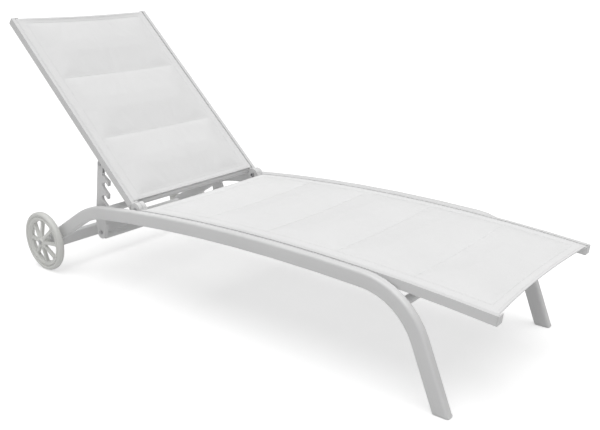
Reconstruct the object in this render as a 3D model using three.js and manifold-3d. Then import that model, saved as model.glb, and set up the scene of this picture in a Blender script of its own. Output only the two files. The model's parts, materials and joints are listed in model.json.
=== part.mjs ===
// Reclining sun lounger: aluminium side tubes with wheels at the head end, seat rails and a hinged
// backrest that carry padded slings, and a notched prop under the backrest.
// Millimetres, +Z up, +X towards the foot end, -Y is the right-hand side.
import * as THREE from "three";
import { mergeVertices } from "three/addons/utils/BufferGeometryUtils.js";
import Module from "manifold-3d";

const wasm = await Module();
wasm.setup();

// ---------- driving dimensions ----------
const GAP = 0.3; // clearance between pieces that touch
const WALL = 1.6; // wall of the tubes and extrusions

const ARC = { radius: 6000, x: 430, railTop: 312, tubeCentre: 291 }; // the shallow arch of the seat
const RAIL = { outer: 281.2, size: 25, lip: 12, slot: 3.5, step: 2.5, backX: -75, frontX: 1089.6 };
const TUBE = { height: 42, width: 26, corner: 7.5, y: 295.3 };
const LEG = { tilt: 0.392, bendX: 755.5, bendRadius: 181, soleTop: 4 };
const TAIL = { start: -245.7, angle: THREE.MathUtils.degToRad(31), bendRadius: 300, past: 15 };
const WHEEL = { radius: 103, x: -548, z: 103, inner: 320.6, width: 22.8, hub: 350, spokes: 8, bore: 5.3 };
const AXLE = { radius: 5, head: 7.5, headThick: 2.6, end: 262 };
const BEAM = { height: 42, width: 26, x: -545, z: 92 };
const CROSS = { radius: 11.5, frontX: 856, frontZ: 242 };
const LATCH = { radius: 11, x: -243, z: 261 };
const HINGE = { x: -102, z: 285.5, knuckle: 22, outer: 281, middle: 267, inner: 252, pin: 4 };
const BACK = { angle: THREE.MathUtils.degToRad(44.06), start: 27, end: 795, lipRise: 4.6 };
const PROP = { lean: THREE.MathUtils.degToRad(10.7), pivotU: 207, pivotN: -33, outer: 272, inner: 261.5 };
const RACK = { spine: 26, tip: 56.5, length: 219.8, bolt: 29.3, endRadius: 21.5, wall: 2.5, notch: 12.5 };
const TAB = { outer: 268.6, inner: 264.9 }; // tab that the rack straddles
const NOTCHES = { first: 45.2, pitch: 44.5, count: 3, slope: THREE.MathUtils.degToRad(29.3), finger: 14 };
const SLING = { thick: 2, pad: 5, sag: 2.5, keder: 3.1 };

// ---------- materials ----------
const finish = (color, roughness, metalness) =>
  new THREE.MeshStandardMaterial({ color, roughness, metalness });
const paint = () => finish(0xe9e9e8, 0.45, 0.15);
const steel = () => finish(0x6d6d6d, 0.4, 0.8);
const dark = () => finish(0x39393b, 0.7, 0);
const cloth = () => finish(0xdededd, 0.9, 0);
const plastic = () => finish(0xd9dad6, 0.55, 0);

// ---------- booleans ----------
function solid(geometry) {
  const bare = geometry.clone();
  bare.deleteAttribute("normal");
  bare.deleteAttribute("uv");
  const merged = mergeVertices(bare, 1e-4);
  const vertProperties = merged.attributes.position.array;
  const triVerts = new Uint32Array(merged.index.array);
  return new wasm.Manifold(new wasm.Mesh({ numProp: 3, vertProperties, triVerts }));
}

function geometryOf(manifold) {
  const mesh = manifold.getMesh();
  const geometry = new THREE.BufferGeometry();
  geometry.setAttribute("position", new THREE.BufferAttribute(mesh.vertProperties, 3));
  geometry.setIndex(new THREE.BufferAttribute(mesh.triVerts, 1));
  return geometry;
}

const join = (first, ...rest) =>
  geometryOf(rest.reduce((sum, next) => sum.add(solid(next)), solid(first)));
const cut = (first, ...rest) =>
  geometryOf(rest.reduce((left, next) => left.subtract(solid(next)), solid(first)));

// ---------- basic shapes ----------
const flat = (point) => new THREE.Vector2(point.x, point.z);

// A slab with an outline in the XZ plane, between two heights along Y.
function slab(shape, y0, y1, curveSegments = 8) {
  const depth = Math.abs(y1 - y0);
  const options = { depth, bevelEnabled: false, curveSegments };
  const geometry = new THREE.ExtrudeGeometry(shape, options);
  geometry.rotateX(Math.PI / 2);
  return geometry.translate(0, Math.max(y0, y1), 0);
}

const polygon = (points) => new THREE.Shape(points.map((p) => new THREE.Vector2(p[0], p[1])));

// A round bar along Y; with a bore it is an open tube.
function bar(x, z, radius, y0, y1, bore = 0, segments = 20) {
  const shape = new THREE.Shape().absarc(x, z, radius, 0, 2 * Math.PI);
  if (bore > 0) {
    shape.holes.push(new THREE.Path().absarc(x, z, bore, 0, 2 * Math.PI, true));
  }
  return slab(shape, y0, y1, segments);
}

function roundedRectangle(width, height, radius) {
  const w = width / 2;
  const h = height / 2;
  const shape = new THREE.Shape();
  shape.absarc(w - radius, h - radius, radius, 0, Math.PI / 2);
  shape.absarc(radius - w, h - radius, radius, Math.PI / 2, Math.PI);
  shape.absarc(radius - w, radius - h, radius, Math.PI, 1.5 * Math.PI);
  shape.absarc(w - radius, radius - h, radius, 1.5 * Math.PI, 2 * Math.PI);
  return shape;
}

// A polyline with one section per point, for ExtrudeGeometry.
class Stations extends THREE.Curve {
  constructor(points) {
    super();
    this.points = points;
    this.steps = points.length - 1;
  }
  getPoint(t, target = new THREE.Vector3()) {
    const place = Math.min(Math.max(t, 0), 1) * this.steps;
    const index = Math.min(Math.floor(place), this.steps - 1);
    return target.lerpVectors(this.points[index], this.points[index + 1], place - index);
  }
  getPointAt(t, target) {
    return this.getPoint(t, target);
  }
  getTangentAt(t, target = new THREE.Vector3()) {
    const index = Math.round(t * this.steps);
    const before = this.points[Math.max(index - 1, 0)];
    const after = this.points[Math.min(index + 1, this.steps)];
    const here = this.points[index];
    target.copy(here).sub(before).normalize();
    return target.add(after.clone().sub(here).normalize()).normalize();
  }
}

const sweep = (shape, points, curveSegments = 3) => {
  const extrudePath = new Stations(points);
  return new THREE.ExtrudeGeometry(shape, { steps: extrudePath.steps, extrudePath, curveSegments });
};

const at = (x, y, z) => new THREE.Vector3(x, y, z);
const arch = (x, top) => top - (x - ARC.x) ** 2 / (2 * ARC.radius);
const range = (count) => [...Array(count).keys()];
const between = (from, to, steps) => range(steps + 1).map((i) => from + ((to - from) * i) / steps);

// ---------- side tubes ----------
// From the front foot up the leg, round the bend, along the arch, down the tail to the axle.
function sideTubePath(y) {
  const legAngle = Math.PI / 2 + Math.atan(LEG.tilt);
  const endAngle = Math.PI - Math.atan((LEG.bendX - ARC.x) / ARC.radius);
  const centre = {
    x: LEG.bendX - LEG.bendRadius * Math.sin(endAngle),
    z: arch(LEG.bendX, ARC.tubeCentre) + LEG.bendRadius * Math.cos(endAngle),
  };
  const bend = between(legAngle, endAngle, 8).map((angle) =>
    at(centre.x + LEG.bendRadius * Math.sin(angle), y, centre.z - LEG.bendRadius * Math.cos(angle)),
  );
  const belowGround = -12;
  const foot = at(bend[0].x + (bend[0].z - belowGround) * LEG.tilt, y, belowGround);
  const middle = between(620, TAIL.start, 6).map((x) => at(x, y, arch(x, ARC.tubeCentre)));
  const tailStart = middle[middle.length - 1];
  const startAngle = Math.atan((ARC.x - tailStart.x) / ARC.radius);
  const tail = between(startAngle, TAIL.angle, 5).slice(1).map((angle) =>
    at(
      tailStart.x - TAIL.bendRadius * (Math.sin(angle) - Math.sin(startAngle)),
      y,
      tailStart.z - TAIL.bendRadius * (Math.cos(startAngle) - Math.cos(angle)),
    ),
  );
  const end = at(
    WHEEL.x - TAIL.past * Math.cos(TAIL.angle),
    y,
    WHEEL.z - TAIL.past * Math.sin(TAIL.angle),
  );
  return [foot, ...bend, ...middle, ...tail, end];
}

// X of the leg's centreline at a height.
function legX(z) {
  const foot = sideTubePath(0)[0];
  return foot.x - (z - foot.z) * LEG.tilt;
}

const SCREW_X = [60, 400, 720]; // where each seat rail is screwed to its side tube

function sideTube(side) {
  const shape = roundedRectangle(TUBE.width, TUBE.height, TUBE.corner);
  const inside = roundedRectangle(TUBE.width - 2 * WALL, TUBE.height - 2 * WALL, TUBE.corner - WALL);
  shape.holes.push(new THREE.Path(inside.getPoints(3)));
  const tube = sweep(shape, sideTubePath(side * TUBE.y));
  const outerFace = side * (TUBE.y + TUBE.width);
  const innerFace = side * (TUBE.y - TUBE.width);
  const middle = side * TUBE.y;
  const axleHole = bar(WHEEL.x, WHEEL.z, WHEEL.bore, innerFace, outerFace, 0, 8);
  const screwHoles = SCREW_X.map((x) => bar(x, screwZ(x), 3.4, innerFace, middle, 0, 3));
  const ground = new THREE.BoxGeometry(200, 100, 100);
  ground.translate(legX(0), side * TUBE.y, LEG.soleTop + GAP - 50);
  return cut(tube, axleHole, ground, ...screwHoles);
}

// Thin moulded sole, flat on the ground, with a plug inside the leg's end.
function footCap(side) {
  const length = TUBE.height * Math.hypot(1, LEG.tilt);
  const y = side * TUBE.y;
  const sole = new THREE.ExtrudeGeometry(roundedRectangle(length, TUBE.width, TUBE.corner), {
    depth: LEG.soleTop - 1,
    bevelEnabled: true,
    bevelSize: 1,
    bevelOffset: -1,
    bevelThickness: 1,
    bevelSegments: 1,
    curveSegments: 4,
  });
  sole.translate(legX(0), y, 1);
  const below = new THREE.BoxGeometry(200, 100, 100).translate(legX(0), y, -50);
  const above = new THREE.BoxGeometry(200, 100, 100).translate(legX(0), y, LEG.soleTop + 50);
  const plugShape = roundedRectangle(TUBE.width - 2 * WALL - 0.8, TUBE.height - 2 * WALL - 0.8, 6);
  const plug = sweep(plugShape, [at(legX(-12), y, -12), at(legX(30), y, 30)]);
  const flatPlug = cut(plug, new THREE.BoxGeometry(200, 100, 100).translate(legX(0), y, -48));
  return join(cut(sole, below, above), flatPlug);
}

// Rounded plug that closes the tail end of a side tube, clear of the axle.
function tailPlug(side) {
  const along = at(-Math.cos(TAIL.angle), 0, -Math.sin(TAIL.angle));
  const point = (distance) => at(WHEEL.x, side * TUBE.y, WHEEL.z).addScaledVector(along, distance);
  const plugShape = roundedRectangle(TUBE.width - 2 * WALL - 0.8, TUBE.height - 2 * WALL - 0.8, 6);
  const capShape = roundedRectangle(TUBE.width, TUBE.height, TUBE.corner);
  const roundShape = roundedRectangle(TUBE.width - 6, TUBE.height - 8, TUBE.corner - 1);
  const plug = sweep(plugShape, [point(7), point(TAIL.past + 2)]);
  const cap = sweep(capShape, [point(TAIL.past + 0.8), point(TAIL.past + 4)]);
  const round = sweep(roundShape, [point(TAIL.past + 3), point(TAIL.past + 6.5)]);
  return join(plug, cap, round);
}

// ---------- rails ----------
// Extruded section: a is measured inboard from the outer face, b down from the lip.
function railSection(side) {
  const s = RAIL.size;
  const place = (pairs) => {
    const points = pairs.map(([a, b]) => new THREE.Vector2(side * a, b));
    return side < 0 ? points.reverse() : points;
  };
  const slotEnd = RAIL.lip + RAIL.slot;
  const outline = [
    [0, 0],
    [RAIL.lip, 0],
    [RAIL.lip, 4],
    [9.6, 6],
    [9.6, 10],
    [12, 12],
    [slotEnd, 12],
    [17.9, 10],
    [17.9, 6],
    [slotEnd, 4.2],
    [slotEnd, RAIL.step],
    [s, RAIL.step],
    [s, s],
    [0, s],
  ];
  const box = (a0, b0, a1, b1) => [
    [a0, b0],
    [a1, b0],
    [a1, b1],
    [a0, b1],
  ];
  const shape = new THREE.Shape(place(outline));
  shape.holes.push(new THREE.Path(place(box(WALL, 13.6, s - WALL, s - WALL))));
  shape.holes.push(new THREE.Path(place(box(WALL, WALL, 8, 12))));
  return shape;
}

const railCorner = (side) => side * RAIL.outer;

function seatRailPath(side) {
  const y = railCorner(side);
  return between(RAIL.backX, RAIL.frontX, 10).map((x) => at(x, y, arch(x, ARC.railTop)));
}

// Height of the screws, in the rail's lower chamber.
function screwZ(x) {
  return arch(x, ARC.railTop) - 18.5;
}

function seatRail(side) {
  const rail = sweep(railSection(side), seatRailPath(side));
  const holes = SCREW_X.map((x) =>
    bar(x, screwZ(x), 3.4, railCorner(side) + side * 5, side * (RAIL.outer - RAIL.size - 5), 0, 3),
  );
  return cut(rail, ...holes);
}

// Self-drilling screw from inside the rail into the side tube.
function railScrew(side, x) {
  const headFace = RAIL.outer - RAIL.size - GAP;
  const shank = bar(x, screwZ(x), 3, side * (headFace - 1), side * 288, 0, 3);
  const head = bar(x, screwZ(x), 6, side * (headFace - 3), side * headFace, 0, 4);
  return join(shank, head);
}

// Directions of the backrest: u up along the rails, n out of the fabric side.
const U = at(-Math.cos(BACK.angle), 0, Math.sin(BACK.angle));
const N = at(Math.sin(BACK.angle), 0, Math.cos(BACK.angle));
const onBack = (u, n, y = 0) =>
  at(HINGE.x, y, HINGE.z).addScaledVector(U, u).addScaledVector(N, n);

function backRail(side) {
  const y = railCorner(side);
  const path = [onBack(BACK.end, BACK.lipRise, y), onBack(BACK.start, BACK.lipRise, y)];
  return sweep(railSection(side), path);
}

// Plastic cap on the upper end of a backrest rail.
function railCap(side) {
  const corners = [
    onBack(BACK.end + GAP, BACK.lipRise),
    onBack(BACK.end + 2.5, BACK.lipRise - 1),
    onBack(BACK.end + 2.5, BACK.lipRise - RAIL.size + 1),
    onBack(BACK.end + GAP, BACK.lipRise - RAIL.size),
  ];
  const shape = new THREE.Shape(corners.map(flat));
  const plate = slab(shape, side * RAIL.outer, side * (RAIL.outer - RAIL.size));
  return join(plate, railPlug(side, onBack, BACK.end + 1, BACK.end - 18, BACK.lipRise));
}

// Plastic cap on the front end of a seat rail.
function seatCap(side) {
  const slope = (RAIL.frontX - ARC.x) / ARC.radius;
  const corner = at(RAIL.frontX, 0, arch(RAIL.frontX, ARC.railTop));
  const place = (u, n) => at(corner.x + u + n * slope, 0, corner.z + n - u * slope);
  const corners = [place(GAP, 0), place(2.5, -1), place(2.5, 1 - RAIL.size), place(GAP, -RAIL.size)];
  const shape = new THREE.Shape(corners.map(flat));
  const plate = slab(shape, side * RAIL.outer, side * (RAIL.outer - RAIL.size));
  return join(plate, railPlug(side, place, 1, -18, 0));
}

// Tongue that fills the lower chamber of a rail near its end.
function railPlug(side, place, from, to, top) {
  const corners = [
    place(from, top - 14),
    place(from, top - 23),
    place(to, top - 23),
    place(to, top - 14),
  ];
  const shape = new THREE.Shape(corners.map(flat));
  return slab(shape, side * (RAIL.outer - 2), side * (RAIL.outer - RAIL.size + 2));
}

// ---------- backrest hinge ----------
// The seat fitting holds the inner knuckle, the backrest fitting the outer one. Each shoulder is
// hollowed round the knuckles, and a neck under the lip joins it to its own.
function hingeFitting(side, place, start, top, y0, y1) {
  const neck = [
    place(0, top),
    place(start - 0.4, top),
    place(start - 0.4, top - 9),
    place(0, top - 9),
  ];
  const shoulder = [
    place(6, top),
    place(start - 0.4, top),
    place(start - 0.4, top - RAIL.size),
    place(6, top - RAIL.size),
  ];
  const round = bar(HINGE.x, HINGE.z, HINGE.knuckle, side * y0, side * y1, 0, 14);
  const arm = slab(new THREE.Shape(neck.map(flat)), side * y0, side * y1);
  const shoulderShape = new THREE.Shape(shoulder.map(flat));
  const full = slab(shoulderShape, side * RAIL.outer, side * (RAIL.outer - RAIL.size));
  const scoop = bar(HINGE.x, HINGE.z, HINGE.knuckle + 1.8, side * 300, side * 240, 0, 14);
  const block = cut(full, scoop);
  const plug = railPlug(side, place, start - 1, start + 20, top);
  const hole = bar(HINGE.x, HINGE.z, HINGE.pin + 0.15, side * 300, side * 240, 0, 8);
  return geometryOf(
    solid(round).add(solid(arm)).add(solid(block)).add(solid(plug)).subtract(solid(hole)),
  );
}

// Frame that runs from the hinge forward along the seat rail.
const railEndSlope = Math.atan((ARC.x - RAIL.backX) / ARC.radius);
const SEAT_TOP = (() => {
  const corner = at(RAIL.backX - HINGE.x, 0, arch(RAIL.backX, ARC.railTop) - HINGE.z);
  return {
    start: corner.x * Math.cos(railEndSlope) + corner.z * Math.sin(railEndSlope),
    rise: corner.z * Math.cos(railEndSlope) - corner.x * Math.sin(railEndSlope),
  };
})();
const onSeat = (u, n) =>
  at(
    HINGE.x + u * Math.cos(railEndSlope) - n * Math.sin(railEndSlope),
    0,
    HINGE.z + u * Math.sin(railEndSlope) + n * Math.cos(railEndSlope),
  );

const backFitting = (side) =>
  hingeFitting(side, onBack, BACK.start, BACK.lipRise, HINGE.outer, HINGE.middle + 0.5);
const seatFitting = (side) =>
  hingeFitting(side, onSeat, SEAT_TOP.start, SEAT_TOP.rise, HINGE.middle - 0.5, HINGE.inner);

// Flat-headed hinge bolt, with its nut on the inboard side.
function hingeBolt(side) {
  const shank = bar(HINGE.x, HINGE.z, HINGE.pin, side * 281.6, side * 250, 0, 8);
  const head = bar(HINGE.x, HINGE.z, 8, side * 281.3, side * 282.1, 0, 10);
  return join(shank, head);
}

function nut(x, z, across, bore, y0, y1) {
  const shape = new THREE.Shape();
  range(6).forEach((i) => {
    const angle = (i * Math.PI) / 3;
    const px = x + across * Math.cos(angle);
    const pz = z + across * Math.sin(angle);
    if (i) shape.lineTo(px, pz);
    else shape.moveTo(px, pz);
  });
  shape.closePath();
  shape.holes.push(new THREE.Path().absarc(x, z, bore, 0, 2 * Math.PI, true));
  return slab(shape, y0, y1);
}

// ---------- prop ----------
const S = at(-Math.sin(PROP.lean), 0, -Math.cos(PROP.lean)); // down along the rack's spine
const F = at(Math.cos(PROP.lean), 0, -Math.sin(PROP.lean)); // forward, towards the finger tips
const PIVOT = onBack(PROP.pivotU, PROP.pivotN);
const TOP = at(-288.6, 0, 390.7); // top of the straight back edge of the spine
const onRack = (s, f) => TOP.clone().addScaledVector(S, s).addScaledVector(F, f);
const PROP_BOLT = onRack(RACK.length, RACK.bolt);
const PROP_TUBE = PROP_BOLT.clone().add(at(2, 0, -13));
const pivotS = PIVOT.clone().sub(TOP).dot(S);

// Side view of the rack: spine with open slots between the fingers.
function rackOutline() {
  const points = [
    onRack(pivotS, 0),
    onRack(pivotS, RACK.spine - 2),
    onRack(NOTCHES.first - 28, RACK.spine),
  ];
  const open = NOTCHES.slope;
  range(NOTCHES.count).forEach((i) => {
    const s = NOTCHES.first + i * NOTCHES.pitch;
    points.push(onRack(s - NOTCHES.finger / Math.cos(open), RACK.tip));
    points.push(onRack(s, RACK.tip));
    const f0 = RACK.spine + RACK.notch;
    const depth = RACK.tip - RACK.notch * Math.sin(open) - f0;
    const s0 = s + RACK.notch * Math.cos(open) - depth * Math.tan(open);
    between(Math.PI / 2, -Math.PI / 2, 6).forEach((t) => {
      const along = -RACK.notch * Math.cos(t);
      const across = -RACK.notch * Math.sin(t);
      points.push(
        onRack(
          s0 + along * Math.sin(open) + across * Math.cos(open),
          f0 + along * Math.cos(open) - across * Math.sin(open),
        ),
      );
    });
  });
  points.push(onRack(RACK.length - 38, RACK.tip - 2));
  between(0.3 * Math.PI, -0.55 * Math.PI, 8).forEach((t) =>
    points.push(
      onRack(RACK.length + RACK.endRadius * Math.cos(t), RACK.bolt + RACK.endRadius * Math.sin(t)),
    ),
  );
  points.push(onRack(RACK.length - 34, 0));
  return new THREE.Shape(points.map(flat));
}

// Thick notched bar with an eye at the top, forked there to straddle the tab.
function rack(side) {
  const { outer, inner } = PROP;
  const forkEnd = 10;
  const reach = 100;
  const slotCorners = [
    onRack(-reach, -reach),
    onRack(-reach, reach),
    onRack(forkEnd, reach),
    onRack(forkEnd, -reach),
  ];
  const slotShape = new THREE.Shape(slotCorners.map(flat));
  const blank = join(
    slab(rackOutline(), side * outer, side * inner),
    bar(PIVOT.x, PIVOT.z, 12, side * outer, side * inner, 0, 10),
  );
  const slot = slab(slotShape, side * (outer - RACK.wall), side * (inner + RACK.wall));
  const holes = [PIVOT, PROP_BOLT].map((p) => bar(p.x, p.z, 3.3, side * 300, side * 240, 0, 6));
  return cut(blank, slot, ...holes);
}

// Tab under the backrest rail that carries the rack's pivot bolt.
function propTab(side) {
  const under = BACK.lipRise - RAIL.size - GAP;
  const plate = [
    onBack(PROP.pivotU - 22, under),
    onBack(PROP.pivotU + 22, under),
    onBack(PROP.pivotU + 10, PROP.pivotN - 3),
    onBack(PROP.pivotU - 10, PROP.pivotN - 3),
  ];
  const shape = new THREE.Shape(plate.map(flat));
  const eye = bar(PIVOT.x, PIVOT.z, 9, side * TAB.outer, side * TAB.inner, 0, 8);
  const hole = bar(PIVOT.x, PIVOT.z, 3.3, side * 300, side * 240, 0, 6);
  const body = solid(slab(shape, side * TAB.outer, side * TAB.inner)).add(solid(eye));
  return geometryOf(body.subtract(solid(hole)));
}

function throughBolt(side, p) {
  const shank = bar(p.x, p.z, 3, side * (PROP.outer + 1), side * (PROP.inner - 7), 0, 6);
  const head = bar(p.x, p.z, 6.5, side * (PROP.outer + GAP), side * (PROP.outer + 4), 0, 8);
  return join(shank, head);
}

// Round tube across the bottom of the prop, with a lug welded at each end for the rack's bolt.
function propTube() {
  const lugOuter = PROP.inner - GAP - 0.1;
  const lugInner = lugOuter - 5;
  const bore = CROSS.radius - WALL;
  const tube = bar(PROP_TUBE.x, PROP_TUBE.z, CROSS.radius, -lugOuter, lugOuter);
  const lugs = [-1, 1].map((side) =>
    bar(PROP_BOLT.x, PROP_BOLT.z, 9, side * lugInner, side * lugOuter, 0, 8),
  );
  const open = bar(PROP_TUBE.x, PROP_TUBE.z, bore, -300, 300, 0, 8);
  const boltHole = bar(PROP_BOLT.x, PROP_BOLT.z, 3.3, -300, 300, 0, 6);
  return cut(join(tube, ...lugs), open, boltHole);
}

// ---------- wheels ----------
function wheel(side) {
  const w = WHEEL.width;
  const h = WHEEL.hub - WHEEL.inner;
  const r = WHEEL.radius;
  const profile = [
    [WHEEL.bore, -1],
    [12, -1],
    [14, 12],
    [20, 14],
    [73, 4],
    [77, 1],
    [87, 1],
    [88.5, 2.2],
    [90, 0.6],
    [r - 6, 0],
    [r - 2, 2.5],
    [r, 7],
    [r, w - 7],
    [r - 2, w - 2.5],
    [r - 6, w],
    [92, w - 0.6],
    [89.5, w - 4.5],
    [87, w - 4.5],
    [85, w - 1.2],
    [79, w - 1.8],
    [76, w - 6],
    [73, w - 8],
    [20, w + 2.5],
    [13.5, h - 4],
    [10.5, h],
    [WHEEL.bore, h],
    [WHEEL.bore, -1],
  ].map(([radius, y]) => new THREE.Vector2(radius, y));
  const body = new THREE.LatheGeometry(profile, 48);
  if (side < 0) body.rotateX(Math.PI);
  body.translate(WHEEL.x, side * WHEEL.inner, WHEEL.z);
  const windows = range(WHEEL.spokes).map((i) => {
    const angle = ((i + 0.5) * 2 * Math.PI) / WHEEL.spokes;
    const half = Math.PI / WHEEL.spokes;
    const corner = (radius, share) => [
      WHEEL.x + radius * Math.cos(angle + share * half),
      WHEEL.z + radius * Math.sin(angle + share * half),
    ];
    const shape = polygon([
      corner(21, -0.3),
      corner(27, -0.56),
      corner(67, -0.8),
      corner(72.4, -0.72),
      corner(73, 0),
      corner(72.4, 0.72),
      corner(67, 0.8),
      corner(27, 0.56),
      corner(21, 0.3),
    ]);
    return slab(shape, side * (WHEEL.inner - 2), side * (WHEEL.hub + 2));
  });
  return cut(body, ...windows);
}

function axleBolt(side) {
  const shank = bar(WHEEL.x, WHEEL.z, AXLE.radius, side * AXLE.end, side * (WHEEL.hub + 1), 0, 10);
  const headFace = WHEEL.hub + GAP;
  const head = bar(WHEEL.x, WHEEL.z, AXLE.head, side * headFace, side * (headFace + AXLE.headThick), 0, 12);
  return join(shank, head);
}

// Insert that closes each end of the axle beam and takes the axle bolt.
function beamPlug(side) {
  const shape = roundedRectangle(BEAM.width - 2 * WALL - 0.8, BEAM.height - 2 * WALL - 0.8, 6);
  const outline = new THREE.Shape(
    shape.getPoints(3).map((p) => new THREE.Vector2(p.x + BEAM.x, p.y + BEAM.z)),
  );
  const block = slab(outline, side * (TUBE.y - TUBE.width / 2 - 0.6), side * (AXLE.end - 6));
  return cut(block, bar(WHEEL.x, WHEEL.z, AXLE.radius + 0.15, side * 300, side * (AXLE.end - 1), 0, 8));
}

function axleBeam() {
  const place = (shape) => shape.getPoints(3).map((p) => new THREE.Vector2(p.x + BEAM.x, p.y + BEAM.z));
  const shape = new THREE.Shape(place(roundedRectangle(BEAM.width, BEAM.height, TUBE.corner)));
  const inside = roundedRectangle(BEAM.width - 2 * WALL, BEAM.height - 2 * WALL, TUBE.corner - WALL);
  shape.holes.push(new THREE.Path(place(inside)));
  const half = TUBE.y - TUBE.width / 2 - GAP;
  return slab(shape, -half, half);
}

// ---------- slings ----------
// A hemmed panel between two rails: w runs along the rails, the section across them.
function slingSection() {
  const edge = RAIL.outer - RAIL.lip - RAIL.slot + 0.4;
  const padEdge = RAIL.outer - RAIL.size - 14;
  const low = RAIL.step - GAP;
  const top = low - SLING.thick;
  return polygon([
    [-edge, top],
    [-padEdge, top + 1],
    [-padEdge + 20, top - 3 + SLING.sag],
    [padEdge - 20, top - 3 + SLING.sag],
    [padEdge, top + 1],
    [edge, top],
    [edge, low],
    [padEdge, low],
    [padEdge - 20, top - 3 + SLING.sag + SLING.pad],
    [-padEdge + 20, top - 3 + SLING.sag + SLING.pad],
    [-padEdge, low],
    [-edge, low],
  ]);
}

const SEAT_SLING = { from: RAIL.backX + 6, to: RAIL.frontX - 4 };
const BACK_SLING = { from: BACK.start + 5, to: BACK.end - 2 };

function seatSling() {
  const path = between(SEAT_SLING.from, SEAT_SLING.to, 10).map((x) => at(x, 0, arch(x, ARC.railTop)));
  return sweep(slingSection(), path);
}

function backSling() {
  const path = [onBack(BACK_SLING.to, BACK.lipRise), onBack(BACK_SLING.from, BACK.lipRise)];
  return sweep(slingSection(), path);
}

// Plastic cord in the rail's slot that anchors the sling.
function keder(side, path) {
  const shape = new THREE.Shape().absarc(side * (RAIL.lip + RAIL.slot / 2), 8, SLING.keder, 0, 2 * Math.PI);
  return sweep(shape, path, 5);
}

// ---------- assembly ----------
const lounger = new THREE.Group();
lounger.name = "reclining_sun_lounger";

function add(name, geometry, material) {
  const mesh = new THREE.Mesh(geometry, material);
  mesh.name = name;
  lounger.add(mesh);
}

const crossEnd = TUBE.y - TUBE.width / 2 - GAP;
const backCrossEnd = RAIL.outer - RAIL.size - GAP;

for (const [word, side] of [["right", -1], ["left", 1]]) {
  add(`side_tube_${word}`, sideTube(side), paint());
  add(`foot_cap_${word}`, footCap(side), plastic());
  add(`tail_plug_${word}`, tailPlug(side), plastic());
  add(`seat_rail_${word}`, seatRail(side), paint());
  SCREW_X.forEach((x, i) => add(`rail_screw_${word}_${i + 1}`, railScrew(side, x), steel()));
  add(`seat_rail_cap_${word}`, seatCap(side), plastic());
  add(`seat_hinge_fitting_${word}`, seatFitting(side), paint());
  add(`back_hinge_fitting_${word}`, backFitting(side), paint());
  add(`hinge_bolt_${word}`, hingeBolt(side), steel());
  const nutY = [side * (HINGE.inner - 0.8), side * (HINGE.inner - 6)];
  add(`hinge_nut_${word}`, nut(HINGE.x, HINGE.z, 7.5, HINGE.pin + 0.3, ...nutY), steel());
  add(`back_rail_${word}`, backRail(side), paint());
  add(`back_rail_cap_${word}`, railCap(side), plastic());
  add(`prop_tab_${word}`, propTab(side), paint());
  add(`prop_rack_${word}`, rack(side), paint());
  add(`prop_pivot_bolt_${word}`, throughBolt(side, PIVOT), steel());
  add(`prop_tube_bolt_${word}`, throughBolt(side, PROP_BOLT), steel());
  add(`wheel_${word}`, wheel(side), plastic());
  add(`axle_bolt_${word}`, axleBolt(side), steel());
  const spacerY = [side * (TUBE.y + TUBE.width / 2 + GAP), side * (WHEEL.inner - 1 - GAP)];
  add(`axle_spacer_${word}`, bar(WHEEL.x, WHEEL.z, 9, ...spacerY, WHEEL.bore, 10), plastic());
  add(`beam_plug_${word}`, beamPlug(side), dark());
  const seatKederPath = between(SEAT_SLING.from, SEAT_SLING.to, 10).map((x) =>
    at(x, railCorner(side), arch(x, ARC.railTop)),
  );
  add(`seat_keder_${word}`, keder(side, seatKederPath), plastic());
  const backKederPath = [BACK_SLING.to, BACK_SLING.from].map((u) =>
    onBack(u, BACK.lipRise, railCorner(side)),
  );
  add(`back_keder_${word}`, keder(side, backKederPath), plastic());
}

const crossBore = CROSS.radius - WALL;
const front = [CROSS.frontX, CROSS.frontZ, CROSS.radius];
add("front_cross_tube", bar(...front, -crossEnd, crossEnd, crossBore), paint());
add("latch_bar", bar(LATCH.x, LATCH.z, LATCH.radius, -crossEnd, crossEnd, LATCH.radius - WALL), paint());
add("axle_beam", axleBeam(), paint());
const low = onBack(33, -13);
add("back_lower_tube", bar(low.x, low.z, CROSS.radius, -backCrossEnd, backCrossEnd, crossBore), paint());
const high = onBack(765, -13);
add("back_upper_tube", bar(high.x, high.z, CROSS.radius, -backCrossEnd, backCrossEnd, crossBore), paint());
add("prop_tube", propTube(), paint());
add("seat_sling", seatSling(), cloth());
add("back_sling", backSling(), cloth());

// The origin is the middle of the footprint, on the ground.
const box = new THREE.Box3().setFromObject(lounger, true);
lounger.position.set(-(box.min.x + box.max.x) / 2, 0, -box.min.z);

export default lounger;
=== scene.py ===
import json
import math

import bmesh
import bpy
import numpy as np
from mathutils import Matrix, Vector
from mathutils.bvhtree import BVHTree


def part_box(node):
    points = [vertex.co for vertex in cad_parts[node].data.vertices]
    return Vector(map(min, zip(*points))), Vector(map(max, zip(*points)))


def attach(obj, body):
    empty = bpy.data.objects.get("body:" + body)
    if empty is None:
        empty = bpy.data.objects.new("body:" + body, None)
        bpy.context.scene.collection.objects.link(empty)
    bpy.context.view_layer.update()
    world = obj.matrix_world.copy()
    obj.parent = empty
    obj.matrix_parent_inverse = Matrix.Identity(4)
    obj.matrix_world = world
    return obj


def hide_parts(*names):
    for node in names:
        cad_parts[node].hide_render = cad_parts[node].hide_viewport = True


# A reclining sun lounger. The hard pieces come from the frame and get their finishes and soft
# edges here. The two slings are built anew as quilted panels with sewn, inflated pads.
# Lengths are in metres. On a sling, w runs away from the hinge line and y across the lounger.

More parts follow.
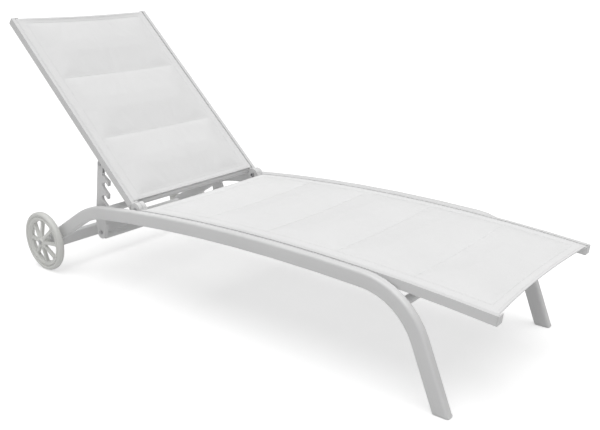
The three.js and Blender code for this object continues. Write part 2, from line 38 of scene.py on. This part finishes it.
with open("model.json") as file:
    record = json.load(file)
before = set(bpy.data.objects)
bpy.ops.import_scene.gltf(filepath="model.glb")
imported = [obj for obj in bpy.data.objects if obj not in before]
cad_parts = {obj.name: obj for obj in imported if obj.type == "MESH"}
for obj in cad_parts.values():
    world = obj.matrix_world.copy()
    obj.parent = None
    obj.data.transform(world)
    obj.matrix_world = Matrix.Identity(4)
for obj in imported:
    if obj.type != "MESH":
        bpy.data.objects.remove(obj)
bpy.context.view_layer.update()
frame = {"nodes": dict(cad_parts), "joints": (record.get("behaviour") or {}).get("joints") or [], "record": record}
NODES = frame["nodes"]

# ---------- places worked out from the frame ----------
JOINTS = {joint["name"]: joint for joint in frame["joints"]}
HINGE = Vector(JOINTS["backrest_hinge"]["pos_m"])
RAIL_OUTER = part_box("seat_rail_left")[1].y
RAIL_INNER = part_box("seat_rail_left")[0].y
ARCH_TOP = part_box("seat_rail_left")[1].z
SEAT_SPAN = tuple(corner.x - HINGE.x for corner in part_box("seat_sling"))

# ---------- the rails that carry the slings ----------
ARCH_RADIUS = 6.0
ARCH_X = HINGE.x + 0.532  # crest of the seat rails' arch
BACK_ANGLE = math.radians(44.06)
BACK_U = Vector((-math.cos(BACK_ANGLE), 0, math.sin(BACK_ANGLE)))  # up along the backrest
BACK_N = Vector((math.sin(BACK_ANGLE), 0, math.cos(BACK_ANGLE)))  # out of its front face
BACK_LIP = 0.0046  # the rails' lip stands this far out of the plane through the hinge line
BACK_SPAN = (0.030, 0.7935)
LIP_DROP = 0.0012  # the cloth lies this far below the lip

# ---------- sewing ----------
SLOT_RIM = RAIL_OUTER - 0.0155  # inner rim of the rails' slots
SLOT_EDGE = RAIL_OUTER - 0.0128  # outer edge of the cloth, inside the slot
SLOT_DIP = 0.0030  # how far the cloth's edge runs down into the slot
PAD_HALF = RAIL_OUTER - 0.046  # half the width of the padded part
FABRIC = 0.0021  # thickness of the two layers where they are sewn together
CELL = 0.0075  # size of a grid cell of the cloth
SEAT_SEAMS = [0.070, 0.273, 0.502, 0.734, 0.962, 1.158]
BACK_SEAMS = [0.052, 0.275, 0.529, 0.772]
HEM_FOLD = 0.004  # width of the narrow row of cells along each hem
SEAT_BOW = 0.013  # how far the free hem is drawn in at its middle
BACK_BOW = 0.006
BOW_REACH = 0.25  # a hem's bow fades out over this length
ROLL_FLAT = 6  # the higher, the more evenly a free hem leans right up to its corners
UNDER_CROWN = 0.0042  # crown of the pads on the underside
SEWN_DOWN = 0.02  # cloth lower than this share of a pad's crown is held by the seam
HELD_ENDS = 0.05  # near its ends a sling sags less, over this length
END_SAG = 0.35  # share of the sag left at the very ends

# ---------- how the pads swell ----------
# A pad is flat in its middle and falls steeply to its seams.
FLAT_ACROSS = 9
ROUND_ACROSS = 0.7
FLAT_ALONG = 5
ROUND_ALONG = 0.62
SWELL_FRAMES = 16
SWELL_MOST = 0.006  # no part of the cloth swells further than this

# ---------- thread ----------
STITCH_PITCH = 0.0042
STITCH_LENGTH = 0.0030
THREAD_RADIUS = 0.0004
STITCH_RISE = 1.2  # height of a stitch's middle, in thread radii
PROBE = 0.03  # the cloth is looked for this far above and below its plain surface
PAD_STITCH = 0.003  # from a pad's edge to the thread round it
HEM_STITCH = 0.007  # from a hem's edge to its thread

# ---------- studio ----------
WHITE = (1, 1, 1, 1)
FLOOR_HALF = 90.0
FLOOR_DROP = 0.0005
FLOOR_GLOW = 0.14
FLOOR_GLOW_SEEN = 0.42  # added where the camera looks at the floor
DOME = 0.28
DOME_SEEN = 0.72  # added where the camera looks at the backdrop
SKY_POWER = 2.45
SKY_WIDTH = math.radians(70)
SKY_DIRECTION = Vector((-0.08, 0.05, -0.99))

# ---------- camera ----------
EYE = Vector((HINGE.x + 1.781, -1.6555, 0.967))
YAW = math.radians(-39.35)
PITCH = math.radians(-17.78)
ROLL = math.radians(-0.67)
SENSOR_MM = 36.0
LENS_MM = 44.84
FAR_CLIP = 400.0


def linked(name, data):
    """A new object in the scene."""
    made = bpy.data.objects.new(name, data)
    bpy.context.scene.collection.objects.link(made)
    return made


def object_from(mesh, name, material):
    """Ends a bmesh: its faces point outwards and it becomes an object of one material."""
    bmesh.ops.recalc_face_normals(mesh, faces=mesh.faces)
    data = bpy.data.meshes.new(name)
    mesh.to_mesh(data)
    mesh.free()
    data.materials.append(material)
    return linked(name, data)


# ---------- shader pieces ----------
def node_tree(name):
    """A material with one Principled shader, ready for its inputs."""
    material = bpy.data.materials.new(name)
    material.use_nodes = True
    tree = material.node_tree
    tree.nodes.clear()
    output = tree.nodes.new("ShaderNodeOutputMaterial")
    shader = tree.nodes.new("ShaderNodeBsdfPrincipled")
    tree.links.new(shader.outputs[0], output.inputs[0])
    return material, tree, shader


def math_node(tree, operation, *values):
    """Each value is a number or another node's output."""
    node = tree.nodes.new("ShaderNodeMath")
    node.operation = operation
    for socket, value in zip(node.inputs, values):
        if isinstance(value, (int, float)):
            socket.default_value = value
        else:
            tree.links.new(value, socket)
    return node.outputs[0]


def noise_node(tree, vector, scale, detail=3.0, roughness=0.5):
    node = tree.nodes.new("ShaderNodeTexNoise")
    node.inputs["Scale"].default_value = scale
    node.inputs["Detail"].default_value = detail
    node.inputs["Roughness"].default_value = roughness
    tree.links.new(vector, node.inputs["Vector"])
    return node.outputs["Fac"]


def ramp_node(tree, factor, low_at, low, high_at, high):
    """Blends from one colour to the other between two values of the factor."""
    node = tree.nodes.new("ShaderNodeValToRGB")
    stops = ((low_at, low), (high_at, high))
    for element, (place, color) in zip(node.color_ramp.elements, stops):
        element.position = place
        element.color = (*color, 1.0)
    tree.links.new(factor, node.inputs[0])
    return node.outputs[0]


def bump_node(tree, height, distance, strength=1.0, normal=None):
    node = tree.nodes.new("ShaderNodeBump")
    node.inputs["Distance"].default_value = distance
    node.inputs["Strength"].default_value = strength
    tree.links.new(height, node.inputs["Height"])
    if normal is not None:
        tree.links.new(normal, node.inputs["Normal"])
    return node.outputs[0]


def object_coordinates(tree):
    return tree.nodes.new("ShaderNodeTexCoord").outputs["Object"]


def camera_ray(tree):
    """1 where the camera sees the surface directly, 0 where only its light arrives."""
    return tree.nodes.new("ShaderNodeLightPath").outputs["Is Camera Ray"]


def grey(value, tint=(0, 0, 0)):
    return tuple(value + t for t in tint)


# ---------- materials ----------
def coated(name, low, high, rough, grain, depth, tint=(0, 0, 0), metallic=0.0):
    """A painted, plated or moulded surface: slight tone drift, fine grain and uneven gloss."""
    gloss_spread = 0.16
    material, tree, shader = node_tree(name)
    place = object_coordinates(tree)
    drift = noise_node(tree, place, scale=6.0, detail=4.0)
    color = ramp_node(tree, drift, 0.3, grey(low, tint), 0.7, grey(high, tint))
    tree.links.new(color, shader.inputs["Base Color"])
    smudge = noise_node(tree, place, scale=38.0, detail=5.0, roughness=0.6)
    gloss = math_node(tree, "MULTIPLY_ADD", smudge, gloss_spread, rough - gloss_spread / 2)
    tree.links.new(gloss, shader.inputs["Roughness"])
    peel = noise_node(tree, place, scale=grain, detail=2.0)
    tree.links.new(bump_node(tree, peel, depth), shader.inputs["Normal"])
    shader.inputs["Metallic"].default_value = metallic
    return material


def woven(name, low, high):
    """Coated-yarn mesh: a plain weave of 1.1 mm yarns over an even white cloth, with the raised yarn at each
    crossing painted lighter as a painted highlight.
    """
    yarn_width = 0.0011
    thickness_share = 0.6
    # the last share sets the painted highlight on the raised yarn
    drift_share, fibre_share, weave_highlight_share = 0.5, 0.2, 0.3
    material, tree, shader = node_tree(name)
    uv = tree.nodes.new("ShaderNodeUVMap")
    uv.uv_map = "cloth"
    split = tree.nodes.new("ShaderNodeSeparateXYZ")
    tree.links.new(uv.outputs[0], split.inputs[0])
    turns = math.pi / yarn_width
    warp = math_node(tree, "SINE", math_node(tree, "MULTIPLY", split.outputs[0], turns))
    weft = math_node(tree, "SINE", math_node(tree, "MULTIPLY", split.outputs[1], turns))
    crossing = math_node(tree, "MULTIPLY", warp, weft)
    yarn = math_node(tree, "ABSOLUTE", crossing)
    over = math_node(tree, "MULTIPLY_ADD", crossing, 0.5, 0.5)
    height = math_node(tree, "MULTIPLY_ADD", yarn, thickness_share, over)
    place = object_coordinates(tree)
    drift = noise_node(tree, place, scale=5.0, detail=4.0)
    fibre = noise_node(tree, place, scale=420.0)
    slow = math_node(tree, "MULTIPLY", drift, drift_share)
    tone = math_node(tree, "MULTIPLY_ADD", fibre, fibre_share, slow)
    # painted highlight: where one yarn lies over the other the colour is painted lighter, following the same
    # crossing pattern as the bump
    tone_with_weave_highlight = math_node(tree, "MULTIPLY_ADD", over, weave_highlight_share, tone)
    color = ramp_node(tree, tone_with_weave_highlight, 0.25, grey(low), 0.75, grey(high))
    tree.links.new(color, shader.inputs["Base Color"])
    shader.inputs["Roughness"].default_value = 0.78
    shader.inputs["Sheen Weight"].default_value = 0.04
    shader.inputs["Sheen Roughness"].default_value = 0.5
    crease = bump_node(tree, noise_node(tree, place, scale=26.0), distance=0.0012, strength=0.35)
    weave = bump_node(tree, height, distance=0.00022, strength=0.6, normal=crease)
    tree.links.new(weave, shader.inputs["Normal"])
    return material


def thread(name, low, high):
    """Twisted sewing thread, painted darker in the grooves of its twist as painted shade."""
    material, tree, shader = node_tree(name)
    wave = tree.nodes.new("ShaderNodeTexWave")
    wave.inputs["Scale"].default_value = 1400.0
    wave.inputs["Distortion"].default_value = 1.5
    tree.links.new(object_coordinates(tree), wave.inputs["Vector"])
    twist = wave.outputs["Fac"]
    # painted shade: the colour follows the twist's wave and is darker where the bump sinks into the grooves
    color = ramp_node(tree, twist, 0.0, grey(low), 1.0, grey(high))
    tree.links.new(color, shader.inputs["Base Color"])
    tree.links.new(bump_node(tree, twist, distance=0.0001), shader.inputs["Normal"])
    shader.inputs["Roughness"].default_value = 0.6
    return material


def floor_white(name):
    """A dull white floor that glows a little, more so where the camera looks at it."""
    material, tree, shader = node_tree(name)
    cloud = noise_node(tree, object_coordinates(tree), scale=2.0)
    tone = ramp_node(tree, cloud, 0.0, grey(0.60), 1.0, grey(0.62))
    tree.links.new(tone, shader.inputs["Base Color"])
    shader.inputs["Roughness"].default_value = 0.9
    shader.inputs["Specular IOR Level"].default_value = 0.1
    shader.inputs["Emission Color"].default_value = WHITE
    glow = math_node(tree, "MULTIPLY_ADD", camera_ray(tree), FLOOR_GLOW_SEEN, FLOOR_GLOW)
    tree.links.new(glow, shader.inputs["Emission Strength"])
    return material


CLOTH = woven("padded_mesh_cloth", low=0.77, high=0.82)
# the low tone of the thread is the painted shade in the grooves of its twist
THREAD = thread("sewing_thread", low=0.72, high=0.82)
FINISH = {
    "powder_coat": coated(
        "powder_coat_white", low=0.725, high=0.755, rough=0.40, grain=1500.0, depth=0.00005
    ),
    "white_plastic": coated(
        "moulded_white", low=0.70, high=0.74, rough=0.55, grain=700.0, depth=0.00008
    ),
    "wheel_plastic": coated(
        "moulded_wheel", low=0.735, high=0.785, rough=0.42, grain=500.0, depth=0.0001,
        tint=(0, 0.004, -0.022),
    ),
    "black_plastic": coated(
        "moulded_dark", low=0.035, high=0.055, rough=0.6, grain=600.0, depth=0.00012
    ),
    "zinc_steel": coated(
        "zinc_plate", low=0.42, high=0.52, rough=0.34, grain=800.0, depth=0.00004,
        tint=(0, 0, 0.01), metallic=1.0,
    ),
    "fabric": CLOTH,
}


def dress_nodes():
    """Gives every CAD node its material, soft edges and smooth round stretches."""
    slots = {entry["node"]: entry["material_slot"] for entry in frame["record"]["subparts"]}
    for name, node in NODES.items():
        mesh = node.data
        mesh.materials.clear()
        mesh.materials.append(FINISH[slots[name]])
        weld = node.modifiers.new("weld", "WELD")
        weld.merge_threshold = 0.00002
        bevel = node.modifiers.new("soft_edges", "BEVEL")
        bevel.width = 0.0007
        bevel.segments = 2
        bevel.limit_method = "ANGLE"
        bevel.angle_limit = math.radians(38)
        bevel.harden_normals = True
        mesh.polygons.foreach_set("use_smooth", [True] * len(mesh.polygons))
        if mesh.has_custom_normals:
            mesh.attributes.remove(mesh.attributes["custom_normal"])
        mesh.update()


# ---------- where the cloth lies ----------
def drawn_in(w, y, end, bow):
    """A free hem is drawn in between its corners."""
    near = max(0.0, 1 - (end - w) / BOW_REACH)
    return w - bow * near ** 2 * max(0.0, 1 - (y / SLOT_RIM) ** 2)


def seat_surface(w, y, lift):
    """The cloth's middle on the arched seat, w towards the foot end."""
    x = HINGE.x + drawn_in(w, y, SEAT_SPAN[1], SEAT_BOW)
    top = ARCH_TOP - (x - ARCH_X) ** 2 / (2 * ARCH_RADIUS) - LIP_DROP - FABRIC / 2
    slope = (x - ARCH_X) / ARCH_RADIUS
    return Vector((x + lift * slope, y, top + lift))


def back_surface(w, y, lift):
    """The cloth's middle on the straight backrest, w up along it."""
    along = drawn_in(w, y, BACK_SPAN[1], BACK_BOW)
    out = BACK_LIP - LIP_DROP - FABRIC / 2 + lift
    return HINGE + BACK_U * along + BACK_N * out + Vector((0, y, 0))


# ---------- slings ----------
def pad_height(w, y, seams):
    """0 on a seam or hem, 1 on the crown of a pad."""
    if abs(y) >= PAD_HALF or w <= seams[0] or w >= seams[-1]:
        return 0.0
    across = 1 - (abs(y) / PAD_HALF) ** FLAT_ACROSS
    for start, end in zip(seams, seams[1:]):
        if start <= w <= end:
            middle = 2 * (w - start) / (end - start) - 1
            lengthwise = (1 - abs(middle) ** FLAT_ALONG) ** ROUND_ALONG
            return across ** ROUND_ACROSS * lengthwise
    return 0.0


def steps_through(marks, cell):
    """Grid lines that pass through every mark, about one cell apart."""
    lines = []
    for start, end in zip(marks, marks[1:]):
        count = max(1, round((end - start) / cell))
        lines += [start + (end - start) * i / count for i in range(count)]
    return lines + [marks[-1]]


def make_sling(name, node, body, surface, span, seams, sag, roll, crown):
    """A quilted panel: two layers of mesh cloth sewn along the seams, with a thin pad between.

    It hangs by sag between the rails, its free hem leans back by roll, or forward where that is
    negative, and its pads stand crown high before they swell."""
    start, end = span
    rows = steps_through([start, start + HEM_FOLD] + seams + [end - HEM_FOLD, end], CELL)
    marks = [PAD_HALF, RAIL_INNER, SLOT_RIM, SLOT_EDGE]
    columns = steps_through([-mark for mark in reversed(marks)] + [0] + marks, CELL)
    mesh = bmesh.new()
    uv = mesh.loops.layers.uv.new("cloth")
    place = {}

    def layer(sign, height):
        """One sheet of cloth as rows of vertices, with its pads crowned to a height."""
        lines = []
        for w in rows:
            free = min(1.0, (w - start) / HELD_ENDS, (end - w) / HELD_ENDS)
            past = max(0.0, (w - seams[-1]) / (end - seams[-1]))
            line = []
            for y in columns:
                hang = -sag * max(0.0, 1 - (y / RAIL_INNER) ** 2)
                lift = (FABRIC / 2 + pad_height(w, y, seams) * height) * sign
                tuck = -SLOT_DIP * max(0.0, (abs(y) - SLOT_RIM) / (SLOT_EDGE - SLOT_RIM))
                tuck -= roll * past ** 2 * (1 - (y / SLOT_EDGE) ** ROLL_FLAT)
                sunk = hang * (END_SAG + (1 - END_SAG) * free)
                vert = mesh.verts.new(surface(w, y, sunk + lift + tuck))
                place[vert] = (w, y)
                line.append(vert)
            lines.append(line)
        return lines

    def face(*verts):
        made = mesh.faces.new(verts)
        made.smooth = True
        for loop in made.loops:
            loop[uv].uv = place[loop.vert]

    top, bottom = layer(1, crown), layer(-1, UNDER_CROWN)
    last_row = len(rows) - 1
    side = len(columns) - 1
    for i in range(last_row):
        for j in range(side):
            face(top[i][j], top[i + 1][j], top[i + 1][j + 1], top[i][j + 1])
            face(bottom[i][j], bottom[i][j + 1], bottom[i + 1][j + 1], bottom[i + 1][j])
        face(top[i][0], bottom[i][0], bottom[i + 1][0], top[i + 1][0])
        face(top[i][side], top[i + 1][side], bottom[i + 1][side], bottom[i][side])
    for j in range(side):
        face(top[0][j], top[0][j + 1], bottom[0][j + 1], bottom[0][j])
        face(top[last_row][j], bottom[last_row][j], bottom[last_row][j + 1], top[last_row][j + 1])
    sling = object_from(mesh, name, CLOTH)
    sewn = [pad_height(w, y, seams) < SEWN_DOWN for w in rows for y in columns]
    held = [index for index, down in enumerate(sewn * 2) if down]
    swell(sling, held)
    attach(sling, body)
    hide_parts(node)
    return sling


def swell(sling, held):
    """Inflates the pads between their seams with Blender's cloth, so that they crown and crease."""
    group = sling.vertex_groups.new(name="sewn")
    group.add(held, 1.0, "REPLACE")
    rest = np.empty(len(sling.data.vertices) * 3)
    sling.data.vertices.foreach_get("co", rest)
    cloth = sling.modifiers.new("cloth", "CLOTH")
    settings = cloth.settings
    settings.quality = 5
    settings.mass = 0.35
    settings.tension_stiffness = 22
    settings.compression_stiffness = 12
    settings.shear_stiffness = 8
    settings.bending_stiffness = 0.9
    settings.vertex_group_mass = "sewn"
    settings.pin_stiffness = 1.0
    settings.shrink_min = -0.002
    settings.use_pressure = True
    settings.uniform_pressure_force = 1.3
    settings.effector_weights.gravity = 0.0
    cloth.collision_settings.use_collision = False
    cloth.collision_settings.use_self_collision = False
    scene = bpy.context.scene
    for frame_number in range(1, SWELL_FRAMES + 1):
        scene.frame_set(frame_number)
    graph = bpy.context.evaluated_depsgraph_get()
    moved = np.empty(len(rest))
    sling.evaluated_get(graph).data.vertices.foreach_get("co", moved)
    sling.modifiers.remove(cloth)
    shift = (moved - rest).reshape(-1, 3)
    length = np.linalg.norm(shift, axis=1, keepdims=True)
    shift *= np.minimum(1.0, SWELL_MOST / np.maximum(length, 1e-9))
    sling.data.vertices.foreach_set("co", (rest.reshape(-1, 3) + shift).ravel())
    sling.data.update()
    scene.frame_set(1)


# ---------- stitches ----------
def seam_lines(span, seams):
    """Stitch lines round the pads, across between them, and along the hems."""
    first, last = seams[0] - PAD_STITCH, seams[-1] + PAD_STITCH
    edge = PAD_HALF + PAD_STITCH
    lines = [((first, side * edge), (last, side * edge)) for side in (-1, 1)]
    lines += [((w, -edge), (w, edge)) for w in (first, last)]
    lines += [((w, -PAD_HALF), (w, PAD_HALF)) for w in seams[1:-1]]
    for w in (span[0] + HEM_STITCH, span[1] - HEM_STITCH):
        lines.append(((w, -RAIL_INNER), (w, RAIL_INNER)))
    return lines


def add_stitch(mesh, a, b, normal):
    """A short arched strand of thread from a to b, three-sided in section."""
    side = (b - a).normalized().cross(normal).normalized() * THREAD_RADIUS
    up = normal * THREAD_RADIUS
    middle = (a + b) / 2 + up * STITCH_RISE
    rings = []
    for centre in (a, middle, b):
        rings.append([mesh.verts.new(v) for v in (centre + side, centre + up, centre - side)])
    for first, second in zip(rings, rings[1:]):
        for k in range(2):
            mesh.faces.new((first[k], second[k], second[k + 1], first[k + 1]))
        mesh.faces.new((first[2], second[2], second[0], first[0]))
    mesh.faces.new(rings[0])
    mesh.faces.new(list(reversed(rings[-1])))


def stitch(name, sling, body, surface, lines):
    """Short thread stitches laid on the cloth along each line, from (w, y) to (w, y)."""
    graph = bpy.context.evaluated_depsgraph_get()
    cloth = BVHTree.FromObject(sling, graph)
    mesh = bmesh.new()
    for (w0, y0), (w1, y1) in lines:
        total = math.hypot(w1 - w0, y1 - y0)
        for i in range(int(total / STITCH_PITCH)):
            ends = []
            for t in (i * STITCH_PITCH, i * STITCH_PITCH + STITCH_LENGTH):
                w = w0 + (w1 - w0) * t / total
                y = y0 + (y1 - y0) * t / total
                high = surface(w, y, PROBE)
                down = surface(w, y, 0.0) - high
                point, normal, _, _ = cloth.ray_cast(high, down.normalized(), 2 * PROBE)
                if point is not None:
                    ends.append((point, normal))
            if len(ends) == 2:
                (a, normal), (b, _) = ends
                add_stitch(mesh, a, b, normal)
    threads = object_from(mesh, name, THREAD)
    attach(threads, body)


# ---------- studio and camera ----------
def studio():
    """Pale floor, an even dome and one broad soft light from overhead."""
    floor_mesh = bpy.data.meshes.new("floor")
    square = ((-1, -1), (1, -1), (1, 1), (-1, 1))
    corners = [(x * FLOOR_HALF, y * FLOOR_HALF, 0) for x, y in square]
    floor_mesh.from_pydata(corners, [], [(0, 1, 2, 3)])
    floor_mesh.materials.append(floor_white("floor_white"))
    floor = linked("floor", floor_mesh)
    floor.location.z = -FLOOR_DROP
    world = bpy.data.worlds.new("studio")
    world.use_nodes = True
    tree = world.node_tree
    backdrop = tree.nodes["Background"]
    backdrop.inputs["Color"].default_value = WHITE
    shine = math_node(tree, "MULTIPLY_ADD", camera_ray(tree), DOME_SEEN, DOME)
    tree.links.new(shine, backdrop.inputs["Strength"])
    bpy.context.scene.world = world
    sun = bpy.data.lights.new("soft_sky", "SUN")
    sun.energy = SKY_POWER
    sun.angle = SKY_WIDTH
    lamp = linked("soft_sky", sun)
    lamp.rotation_euler = SKY_DIRECTION.to_track_quat("-Z", "Y").to_euler()


def camera():
    """Looks down from the foot end's right side."""
    level = Vector((math.sin(YAW), math.cos(YAW), 0)) * math.cos(PITCH)
    forward = level + Vector((0, 0, math.sin(PITCH)))
    right = forward.cross(Vector((0, 0, 1))).normalized()
    up = right.cross(forward)
    turned_right = right * math.cos(ROLL) + up * math.sin(ROLL)
    turned_up = up * math.cos(ROLL) - right * math.sin(ROLL)
    lens = bpy.data.cameras.new("camera")
    lens.sensor_width = SENSOR_MM
    lens.lens = LENS_MM
    lens.clip_end = FAR_CLIP
    eye = linked("camera", lens)
    matrix = Matrix((turned_right, turned_up, -forward)).transposed().to_4x4()
    matrix.translation = EYE
    eye.matrix_world = matrix
    bpy.context.scene.camera = eye


bpy.context.scene.view_settings.view_transform = "Standard"
camera()
studio()
dress_nodes()
seat = make_sling(
    "seat_cloth", "seat_sling", "frame", seat_surface, SEAT_SPAN, SEAT_SEAMS,
    sag=0.006, roll=0.002, crown=0.0085,
)
back = make_sling(
    "back_cloth", "back_sling", "backrest", back_surface, BACK_SPAN, BACK_SEAMS,
    sag=0.004, roll=-0.004, crown=0.0058,
)
stitch("seat_stitches", seat, "frame", seat_surface, seam_lines(SEAT_SPAN, SEAT_SEAMS))
stitch("back_stitches", back, "backrest", back_surface, seam_lines(BACK_SPAN, BACK_SEAMS))
